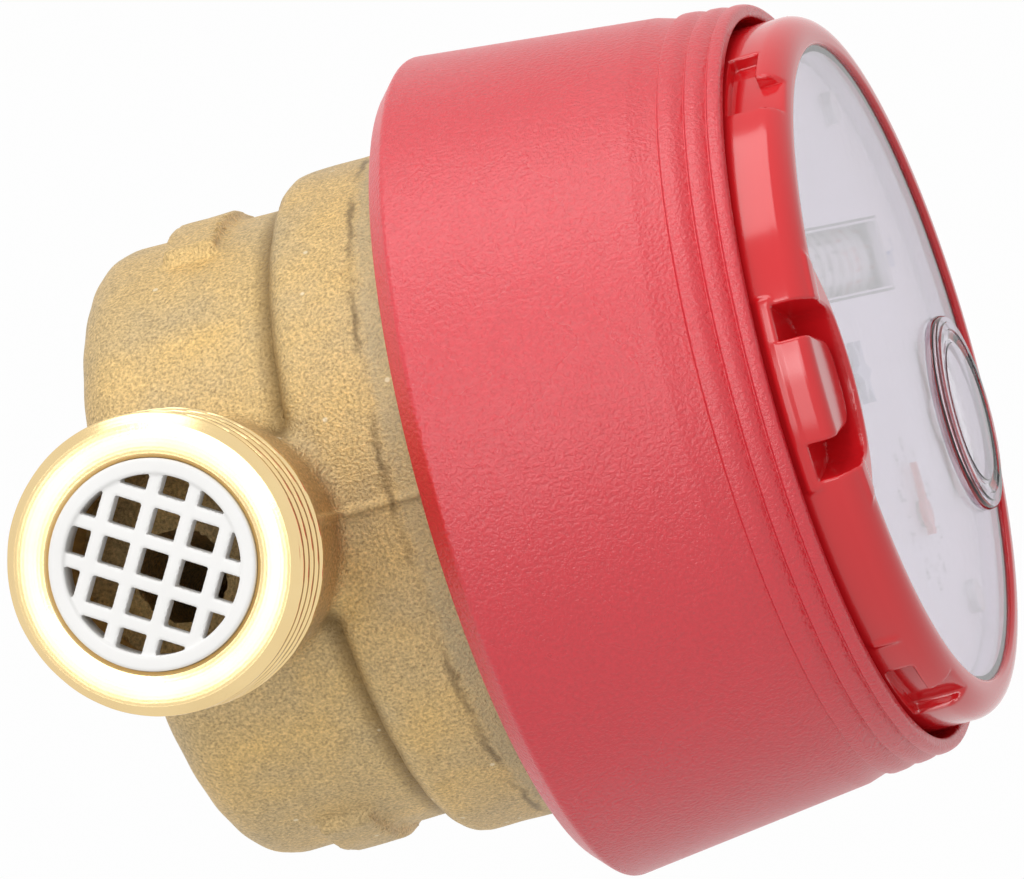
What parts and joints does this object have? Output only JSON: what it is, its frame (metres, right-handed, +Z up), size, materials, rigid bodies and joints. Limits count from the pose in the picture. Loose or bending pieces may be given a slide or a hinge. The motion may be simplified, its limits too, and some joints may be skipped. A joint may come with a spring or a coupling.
{
  "type": "water meter",
  "caption": "Small threaded brass water meter with a red housing, a turnable dry register under a clear window, an inlet strainer and a magnet-coupled impeller driving number rollers.",
  "frame": {"origin": "centre of the inlet end face, on the pipe axis", "axes": "+X along the pipe with the flow, +Z up through the dial, +Y to the left of the flow"},
  "size_m": [0.11, 0.0756, 0.071],
  "materials": {
    "cast_brass": "sand cast and blasted, bright where turned",
    "turned_brass": "turned",
    "mesh_plastic": "moulded",
    "wet_plastic": "moulded",
    "bearing_bronze": "turned",
    "seal_rubber": "moulded",
    "steel": "bright",
    "ferrite": "sintered",
    "housing_red": "fine moulded grain",
    "ring_red": "glossy",
    "window_clear": "clear plastic",
    "can_white": "moulded",
    "dial_white": "printed",
    "gear_plate": "moulded",
    "gear_plastic": "moulded",
    "pointer_red": "moulded",
    "roller_black": "printed digits",
    "roller_red": "printed digits"
  },
  "bodies": {
    "pipe_body": {"body": "cast_brass", "inlet_strainer": "mesh_plastic", "lower_pivot": "steel", "pressure_plate": "wet_plastic", "upper_bearing": "bearing_bronze", "plate_seal": "seal_rubber", "clamp_ring": "turned_brass", "shield_ring": "steel", "housing": "housing_red"},
    "impeller_set": {"impeller": "wet_plastic", "impeller_magnet": "ferrite"},
    "register": {"register_can": "can_white", "gear_plate": "gear_plate", "frame_screws": "steel", "dial_plate": "dial_white", "dial_screws": "steel", "window_seal": "seal_rubber", "window": "window_clear", "cap_ring": "ring_red", "roller_shaft": "steel", "transfer_shaft": "steel"},
    "spindle_set": {"spindle": "gear_plastic", "follower_magnet": "ferrite"},
    "star_set": {"star_arbor": "gear_plastic", "star": "pointer_red"},
    "second_set": {"second_arbor": "gear_plastic"},
    "pointer_set": {"pointer_arbor": "gear_plastic", "pointer": "pointer_red"},
    "fourth_set": {"fourth_arbor": "gear_plastic"},
    "sensor_set": {"sensor_arbor": "gear_plastic", "sensor_disc": "steel"},
    "idler_set": {"idler_gear": "gear_plastic"},
    "drive_set": {"drive_arbor": "gear_plastic"},
    "number_roller_1_set": {"number_roller_1": "roller_black"},
    "number_roller_2_set": {"number_roller_2": "roller_black"},
    "number_roller_3_set": {"number_roller_3": "roller_black"},
    "number_roller_4_set": {"number_roller_4": "roller_black"},
    "number_roller_5_set": {"number_roller_5": "roller_black"},
    "number_roller_6_set": {"number_roller_6": "roller_red"},
    "number_roller_7_set": {"number_roller_7": "roller_red"},
    "number_roller_8_set": {"number_roller_8": "roller_red"},
    "transfer_pinion_1_set": {"transfer_pinion_1": "gear_plastic"},
    "transfer_pinion_2_set": {"transfer_pinion_2": "gear_plastic"},
    "transfer_pinion_3_set": {"transfer_pinion_3": "gear_plastic"},
    "transfer_pinion_4_set": {"transfer_pinion_4": "gear_plastic"},
    "transfer_pinion_5_set": {"transfer_pinion_5": "gear_plastic"},
    "transfer_pinion_6_set": {"transfer_pinion_6": "gear_plastic"},
    "transfer_pinion_7_set": {"transfer_pinion_7": "gear_plastic"}
  },
  "joints": [
    {"name": "impeller_spin", "type": "hinge", "parent": "pipe_body", "child": "impeller_set", "pos_m": [0.055, 0, 0], "axis": [0, 0, 1], "continuous": true},
    {"name": "register_turn", "type": "hinge", "parent": "pipe_body", "child": "register", "pos_m": [0.055, 0, 0.0298], "axis": [0, 0, 1], "range_deg": [-177.5, 177.5]},
    {"name": "spindle_spin", "type": "hinge", "parent": "register", "child": "spindle_set", "pos_m": [0.055, 0, 0.036], "axis": [0, 0, 1], "continuous": true},
    {"name": "star_spin", "type": "hinge", "parent": "register", "child": "star_set", "pos_m": [0.04555, 0, 0.036], "axis": [0, 0, 1], "continuous": true},
    {"name": "second_spin", "type": "hinge", "parent": "register", "child": "second_set", "pos_m": [0.048, -0.00913, 0.036], "axis": [0, 0, 1], "continuous": true},
    {"name": "pointer_spin", "type": "hinge", "parent": "register", "child": "pointer_set", "pos_m": [0.05644, -0.01337, 0.036], "axis": [0, 0, 1], "continuous": true},
    {"name": "fourth_spin", "type": "hinge", "parent": "register", "child": "fourth_set", "pos_m": [0.0658, -0.01206, 0.036], "axis": [0, 0, 1], "continuous": true},
    {"name": "sensor_spin", "type": "hinge", "parent": "register", "child": "sensor_set", "pos_m": [0.07276, -0.00567, 0.036], "axis": [0, 0, 1], "continuous": true},
    {"name": "idler_spin", "type": "hinge", "parent": "register", "child": "idler_set", "pos_m": [0.07463, 0.00216, 0.036], "axis": [0, 0, 1], "continuous": true},
    {"name": "drive_spin", "type": "hinge", "parent": "register", "child": "drive_set", "pos_m": [0.0765, 0.01, 0.036], "axis": [0, 0, 1], "continuous": true},
    {"name": "number_roller_1_spin", "type": "hinge", "parent": "register", "child": "number_roller_1_set", "pos_m": [0.055, 0.01, 0.0469], "axis": [1, 0, 0], "continuous": true},
    {"name": "number_roller_2_spin", "type": "hinge", "parent": "register", "child": "number_roller_2_set", "pos_m": [0.055, 0.01, 0.0469], "axis": [1, 0, 0], "continuous": true},
    {"name": "number_roller_3_spin", "type": "hinge", "parent": "register", "child": "number_roller_3_set", "pos_m": [0.055, 0.01, 0.0469], "axis": [1, 0, 0], "continuous": true},
    {"name": "number_roller_4_spin", "type": "hinge", "parent": "register", "child": "number_roller_4_set", "pos_m": [0.055, 0.01, 0.0469], "axis": [1, 0, 0], "continuous": true},
    {"name": "number_roller_5_spin", "type": "hinge", "parent": "register", "child": "number_roller_5_set", "pos_m": [0.055, 0.01, 0.0469], "axis": [1, 0, 0], "continuous": true},
    {"name": "number_roller_6_spin", "type": "hinge", "parent": "register", "child": "number_roller_6_set", "pos_m": [0.055, 0.01, 0.0469], "axis": [1, 0, 0], "continuous": true},
    {"name": "number_roller_7_spin", "type": "hinge", "parent": "register", "child": "number_roller_7_set", "pos_m": [0.055, 0.01, 0.0469], "axis": [1, 0, 0], "continuous": true},
    {"name": "number_roller_8_spin", "type": "hinge", "parent": "register", "child": "number_roller_8_set", "pos_m": [0.055, 0.01, 0.0469], "axis": [1, 0, 0], "continuous": true},
    {"name": "transfer_pinion_1_spin", "type": "hinge", "parent": "register", "child": "transfer_pinion_1_set", "pos_m": [0.055, 0.01526, 0.04498], "axis": [1, 0, 0], "continuous": true},
    {"name": "transfer_pinion_2_spin", "type": "hinge", "parent": "register", "child": "transfer_pinion_2_set", "pos_m": [0.055, 0.01526, 0.04498], "axis": [1, 0, 0], "continuous": true},
    {"name": "transfer_pinion_3_spin", "type": "hinge", "parent": "register", "child": "transfer_pinion_3_set", "pos_m": [0.055, 0.01526, 0.04498], "axis": [1, 0, 0], "continuous": true},
    {"name": "transfer_pinion_4_spin", "type": "hinge", "parent": "register", "child": "transfer_pinion_4_set", "pos_m": [0.055, 0.01526, 0.04498], "axis": [1, 0, 0], "continuous": true},
    {"name": "transfer_pinion_5_spin", "type": "hinge", "parent": "register", "child": "transfer_pinion_5_set", "pos_m": [0.055, 0.01526, 0.04498], "axis": [1, 0, 0], "continuous": true},
    {"name": "transfer_pinion_6_spin", "type": "hinge", "parent": "register", "child": "transfer_pinion_6_set", "pos_m": [0.055, 0.01526, 0.04498], "axis": [1, 0, 0], "continuous": true},
    {"name": "transfer_pinion_7_spin", "type": "hinge", "parent": "register", "child": "transfer_pinion_7_set", "pos_m": [0.055, 0.01526, 0.04498], "axis": [1, 0, 0], "continuous": true}
  ],
  "couplings": [
    {"joint": "spindle_spin", "follows": "impeller_spin", "ratio": 1},
    {"joint": "star_spin", "follows": "impeller_spin", "ratio": -0.2},
    {"joint": "second_spin", "follows": "impeller_spin", "ratio": 0.04},
    {"joint": "pointer_spin", "follows": "impeller_spin", "ratio": -0.02},
    {"joint": "fourth_spin", "follows": "impeller_spin", "ratio": 0.004},
    {"joint": "sensor_spin", "follows": "impeller_spin", "ratio": -0.002},
    {"joint": "idler_spin", "follows": "impeller_spin", "ratio": 0.002},
    {"joint": "drive_spin", "follows": "impeller_spin", "ratio": -0.002},
    {"joint": "number_roller_1_spin", "follows": "impeller_spin", "ratio": 0.0000000002},
    {"joint": "number_roller_2_spin", "follows": "impeller_spin", "ratio": 0.000000002},
    {"joint": "number_roller_3_spin", "follows": "impeller_spin", "ratio": 0.00000002},
    {"joint": "number_roller_4_spin", "follows": "impeller_spin", "ratio": 0.0000002},
    {"joint": "number_roller_5_spin", "follows": "impeller_spin", "ratio": 0.000002},
    {"joint": "number_roller_6_spin", "follows": "impeller_spin", "ratio": 0.00002},
    {"joint": "number_roller_7_spin", "follows": "impeller_spin", "ratio": 0.0002},
    {"joint": "number_roller_8_spin", "follows": "impeller_spin", "ratio": 0.002},
    {"joint": "transfer_pinion_1_spin", "follows": "impeller_spin", "ratio": -0.0000000005},
    {"joint": "transfer_pinion_2_spin", "follows": "impeller_spin", "ratio": -0.000000005},
    {"joint": "transfer_pinion_3_spin", "follows": "impeller_spin", "ratio": -0.00000005},
    {"joint": "transfer_pinion_4_spin", "follows": "impeller_spin", "ratio": -0.0000005},
    {"joint": "transfer_pinion_5_spin", "follows": "impeller_spin", "ratio": -0.000005},
    {"joint": "transfer_pinion_6_spin", "follows": "impeller_spin", "ratio": -0.00005},
    {"joint": "transfer_pinion_7_spin", "follows": "impeller_spin", "ratio": -0.0005}
  ]
}
